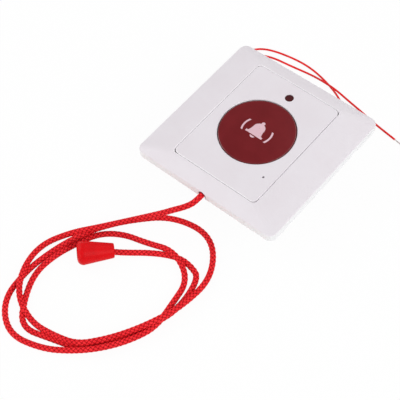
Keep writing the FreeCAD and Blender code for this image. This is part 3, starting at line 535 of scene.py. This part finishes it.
def turning_frames(line):
    """Side and up directions that follow the line without twisting."""
    frames = []
    side = None
    for place in range(len(line)):
        ahead = (line[min(place + 1, len(line) - 1)] - line[max(place - 1, 0)]).normalized()
        if side is None:
            side = ahead.cross(Vector((0, 0, 1))).normalized()
        side = (side - ahead * side.dot(ahead)).normalized()
        frames.append((side, ahead.cross(side)))
    return frames


def mesh_piece(name, verts, faces, material):
    mesh = bpy.data.meshes.new(name)
    mesh.from_pydata([tuple(vert) for vert in verts], [], faces)
    mesh.update()
    piece = bpy.data.objects.new(name, mesh)
    scene.collection.objects.link(piece)
    mesh.materials.append(material)
    return piece


def tube_faces(rows, rounds):
    """The faces of a closed tube whose rings of points follow each other."""
    faces = []
    for row in range(rows - 1):
        for spot in range(rounds):
            ahead = (spot + 1) % rounds
            faces.append((row * rounds + spot, row * rounds + ahead,
                          (row + 1) * rounds + ahead, (row + 1) * rounds + spot))
    faces.append(tuple(reversed(range(rounds))))
    faces.append(tuple((rows - 1) * rounds + spot for spot in range(rounds)))
    return faces


def smooth_shaded(piece):
    faces = piece.data.polygons
    faces.foreach_set("use_smooth", [True] * len(faces))


def braided_tube(name, line):
    """The cord as a tube that carries the braid, pressed flat where it lies on the table."""
    per_cell, per_pitch = 8, 6
    rounds = braid_cells * per_cell
    places = even_steps(line, braid_pitch / per_pitch)
    verts = []
    for row, (point, (side, up)) in enumerate(zip(places, turning_frames(places))):
        for spot in range(rounds):
            angle = math.tau * spot / rounds
            rise = braid_rise(spot / per_cell, row / per_pitch)
            radius = cord_radius - braid_depth * (1.0 - rise)
            vert = point + (side * math.cos(angle) + up * math.sin(angle)) * radius
            vert.z = max(vert.z, 0.0)
            verts.append(vert)
    corners = []
    for row in range(len(places) - 1):
        for spot in range(rounds):
            corners += [(spot, row), (spot + 1, row), (spot + 1, row + 1), (spot, row + 1)]
    corners += [(spot, 0) for spot in range(rounds)] * 2
    piece = mesh_piece(name, verts, tube_faces(len(places), rounds), braid)
    layer = piece.data.uv_layers.new(name="braid")
    for loop, (spot, row) in zip(layer.data, corners):
        loop.uv = (spot / per_cell, row / per_pitch)
    smooth_shaded(piece)
    return piece


# The pull cord: out of the plate, three loose turns, into the knob. Places are in mm.

coil_middle = (-12.0, -106.0)
# The coil's spokes, in degrees
first_spoke = 135.0
spoke_step = 22.5
# Each turn's points, a spoke apart: reach from the coil's middle, and height
turns = (
    ((31.8, 6.7), (34.9, 4.0), (40.8, 1.4), (40.5, 3.6), (40.2, 3.9), (36.7, 1.4),
     (32.5, 3.1), (31.7, 4.1), (28.5, 4.1), (28.1, 3.3), (33.2, 6.3), (40.9, 4.1),
     (54.2, 1.4), (60.8, 1.4), (52.6, 1.4), (40.5, 1.4)),
    ((34.1, 2.8), (30.9, 4.4), (33.9, 1.4), (38.9, 1.4), (47.5, 1.4), (48.9, 1.4),
     (40.5, 1.4), (34.6, 2.6), (32.4, 3.6), (32.0, 2.6), (35.3, 3.8), (35.9, 3.1),
     (42.4, 1.4), (40.0, 4.2), (32.8, 1.4), (32.1, 1.4)),
    ((31.5, 1.4), (29.3, 1.4), (30.9, 1.4), (34.5, 1.4), (37.0, 1.4), (42.3, 1.4),
     (33.9, 1.4), (32.6, 1.4), (29.9, 1.4), (29.5, 1.4), (31.8, 1.4), (39.6, 1.4),
     (47.3, 1.4)),
)
way_out = (
    (0.0, -42.4, cord_exit_height), (0.0, -46.2, cord_exit_height), (-1.0, -49.8, 18.2),
    (-3.8, -53.45, 17.0), (-7.6, -56.1, 14.65), (-12.1, -59.4, 11.55),
    (-19.55, -65.45, 8.0), (-28.8, -73.45, 4.2),
)
knob_small_end = Vector((-20.5, -87.0, 0.0))
knob_heading = Vector((-0.6626, -0.7490, 0.0)).normalized()
knob_length, knob_big, knob_small = 18.4, 6.45, 3.65
knob_lean = math.atan2(knob_big - knob_small, knob_length)
knob_pocket = 8.2
knob_lift = 0.02
cord_in_pocket = 2.0


def knob_place(reach):
    """A point on the knob's axis, reach mm from its small end."""
    height = knob_small * math.cos(knob_lean) + knob_lift + reach * math.sin(knob_lean)
    level = knob_small_end + knob_heading * (reach * math.cos(knob_lean))
    return (level.x, level.y, height)


def coil_points():
    """The turns' points in the row frame, in mm."""
    points = []
    for spoke, (reach, height) in enumerate(point for turn in turns for point in turn):
        angle = math.radians(first_spoke + spoke_step * spoke)
        points.append((coil_middle[0] + reach * math.cos(angle),
                       coil_middle[1] + reach * math.sin(angle), height))
    return points


way_in = (
    (14.6, -69.8, 1.45), (6.2, -69.5, 1.45), (-4.9, -74.9, 1.45), (-17.1, -84.3, 1.45),
    (-21.48, -88.11, 2.95), knob_place(knob_length - knob_pocket + cord_in_pocket),
)
cord_points = [Vector(point) * MM for point in (*way_out, *coil_points(), *way_in)]
cord_line = line_points("pull_cord", cord_points)
cord_piece = braided_tube("braided_pull_cord", cord_line)
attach(cord_piece, "pull_carriage")
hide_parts("pull_cord", "pull_cord_coil", "pull_cord_tail")


# The two leads. Places are in mm.

lead_radius = 0.00055
lead_a = (
    (-26.4, 14.6, 8.0), (-32.0, 14.6, 8.0), (-39.2, 18.2, 7.0), (-45.4, 25.6, 5.0),
    (-48.8, 35.0, 3.0), (-50.8, 44.6, 1.6), (-49.8, 54.2, 0.7), (-43.2, 60.7, 0.6),
    (-29.4, 63.9, 0.6), (-16.2, 64.6, 0.6), (-3.4, 61.9, 0.6), (7.5, 57.9, 0.6),
    (18.0, 51.1, 0.6), (28.7, 47.4, 0.6),
)
lead_b = (
    (-26.4, 17.4, 8.0), (-31.0, 17.4, 8.0), (-37.0, 21.2, 7.0), (-41.8, 28.6, 5.0),
    (-44.8, 37.4, 3.0), (-46.6, 46.4, 1.6), (-44.8, 53.8, 0.8), (-36.7, 57.8, 0.6),
    (-24.7, 59.0, 0.6), (-12.4, 60.4, 1.0), (-4.4, 59.7, 2.5), (4.7, 59.3, 2.5),
    (14.3, 58.2, 1.0), (23.8, 56.7, 0.6), (33.8, 54.4, 0.6), (47.8, 52.4, 0.6),
)


def lead(name, points, node):
    """One lead's insulation, out of the housing's bush and round to its bare tip."""
    places = [Vector(point) * MM for point in points]
    piece = spline_piece(name, places)
    piece.data.bevel_depth = lead_radius
    piece.data.bevel_resolution = 5
    piece.data.use_fill_caps = True
    piece.data.materials.append(lead_insulation)
    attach(piece, "call_point")
    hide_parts(node)


lead("lead_a_insulation", lead_a, "lead_wire_a")
lead("lead_b_insulation", lead_b, "lead_wire_b")


# The return springs of the button and the cord

def return_spring(node, joint, axis, windings, wire_radius):
    """Wound wire in the place of the CAD's spring; its end turns lie a little closer."""
    steps_each, rounds, closeness = 32, 10, 0.35
    steps = windings * steps_each
    low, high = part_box(node)
    length = high[axis] - low[axis]
    radius = (high.x - low.x) / 2 - wire_radius
    heading = Vector([float(place == axis) for place in range(3)])
    side = Vector((1.0, 0.0, 0.0))
    other = heading.cross(side)
    foot = (low + high) / 2 - heading * (length / 2)
    line = []
    for step in range(steps + 1):
        share = step / steps
        angle = math.tau * windings * share
        outward = side * math.cos(angle) + other * math.sin(angle)
        rise = share - closeness * math.sin(math.tau * share) / math.tau
        place = foot + heading * (wire_radius + (length - 2 * wire_radius) * rise)
        line.append((place + outward * radius, outward))
    verts = []
    for step, (point, outward) in enumerate(line):
        ahead = line[min(step + 1, steps)][0] - line[max(step - 1, 0)][0]
        across = ahead.cross(outward).normalized()
        for spot in range(rounds):
            angle = math.tau * spot / rounds
            away = outward * math.cos(angle) + across * math.sin(angle)
            verts.append(point + away * wire_radius)
    piece = mesh_piece("wound_" + node, verts, tube_faces(steps + 1, rounds), spring_steel)
    smooth_shaded(piece)
    travel = next(row["range_m"][1] for row in frame["joints"] if row["name"] == joint)
    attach(piece, "call_point")
    1.0 - travel / length
    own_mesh(piece)
    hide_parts(node)


return_spring("button_spring_upper", "button_press", 2, 6, 0.00025)
return_spring("button_spring_lower", "button_press", 2, 6, 0.00025)
return_spring("pull_spring", "cord_pull", 1, 3, 0.0002)


# Floor, light and camera

def floor_finish():
    """Pale floor that shows as nearly plain white, with a faint shadow."""
    finish = Finish("floor_paper", Roughness=0.9, Specular_IOR_Level=0.1)
    finish.shader.inputs["Base Color"].default_value = (0.9, 0.9, 0.9, 1.0)
    white = finish.node(
        "ShaderNodeEmission", None, {"Color": (1.0, 1.0, 1.0, 1.0), "Strength": 1.0})
    direct, glossy, through = (
        finish.node("ShaderNodeLightPath", output=f"Is {kind} Ray")
        for kind in ("Camera", "Glossy", "Transmission")
    )
    seen = direct.math("MAXIMUM", glossy).math("MAXIMUM", through)
    cover = finish.node("ShaderNodeMixShader", None, {0: seen * 0.95})
    blend = cover.socket.node
    finish.tree.links.new(finish.shader.outputs[0], blend.inputs[1])
    finish.tree.links.new(white.socket, blend.inputs[2])
    finish.tree.links.new(blend.outputs[0], finish.output.inputs["Surface"])
    return finish.material


floor_reach, floor_drop = 3.0, 0.0001
floor_corners = [(-floor_reach, -floor_reach, 0.0), (floor_reach, -floor_reach, 0.0),
                 (floor_reach, floor_reach, 0.0), (-floor_reach, floor_reach, 0.0)]
floor = mesh_piece("floor", floor_corners, [(0, 1, 2, 3)], floor_finish())
floor.location.z = -floor_drop


def soft_lamp(name, place, size, watts):
    """A square lamp that looks at the part's middle."""
    lamp = bpy.data.lights.new(name, "AREA")
    lamp.size = size
    lamp.energy = watts
    piece = bpy.data.objects.new(name, lamp)
    piece.location = place
    piece.rotation_mode = "QUATERNION"
    piece.rotation_quaternion = (Vector((0, 0, 0)) - Vector(place)).to_track_quat("-Z", "Y")
    scene.collection.objects.link(piece)


soft_lamp("lamp_left", (-1.3, -0.4, 0.9), 1.0, 9.0)
soft_lamp("lamp_front", (1.25, -0.05, 0.85), 1.0, 10.8)
soft_lamp("lamp_back", (0.2, 1.2, 1.2), 1.2, 4.6)
soft_lamp("lamp_low", (-0.5, -1.4, 0.12), 0.8, 7.4)
world = bpy.data.worlds.new("studio")
scene.world = world
world.use_nodes = True
sky = world.node_tree.nodes["Background"].inputs
sky["Color"].default_value = (1.0, 1.0, 1.0, 1.0)
sky["Strength"].default_value = 0.495

right = Vector((0.76128, 0.64482, -0.0683)).normalized()
up = Vector((-0.51236, 0.66274, 0.54614)).normalized()
back = Vector((0.39742, -0.38078, 0.8349)).normalized()
lens = bpy.data.cameras.new("camera")
lens.lens = 101.891
lens.sensor_width = 36.0
camera = bpy.data.objects.new("camera", lens)
camera_place = Vector((0.21878, -0.25433, 0.47635))
turn = Matrix((right, up, back)).transposed()
camera.matrix_world = Matrix.Translation(camera_place) @ turn.to_4x4()
scene.collection.objects.link(camera)
scene.camera = camera
scene.view_settings.view_transform = "Standard"
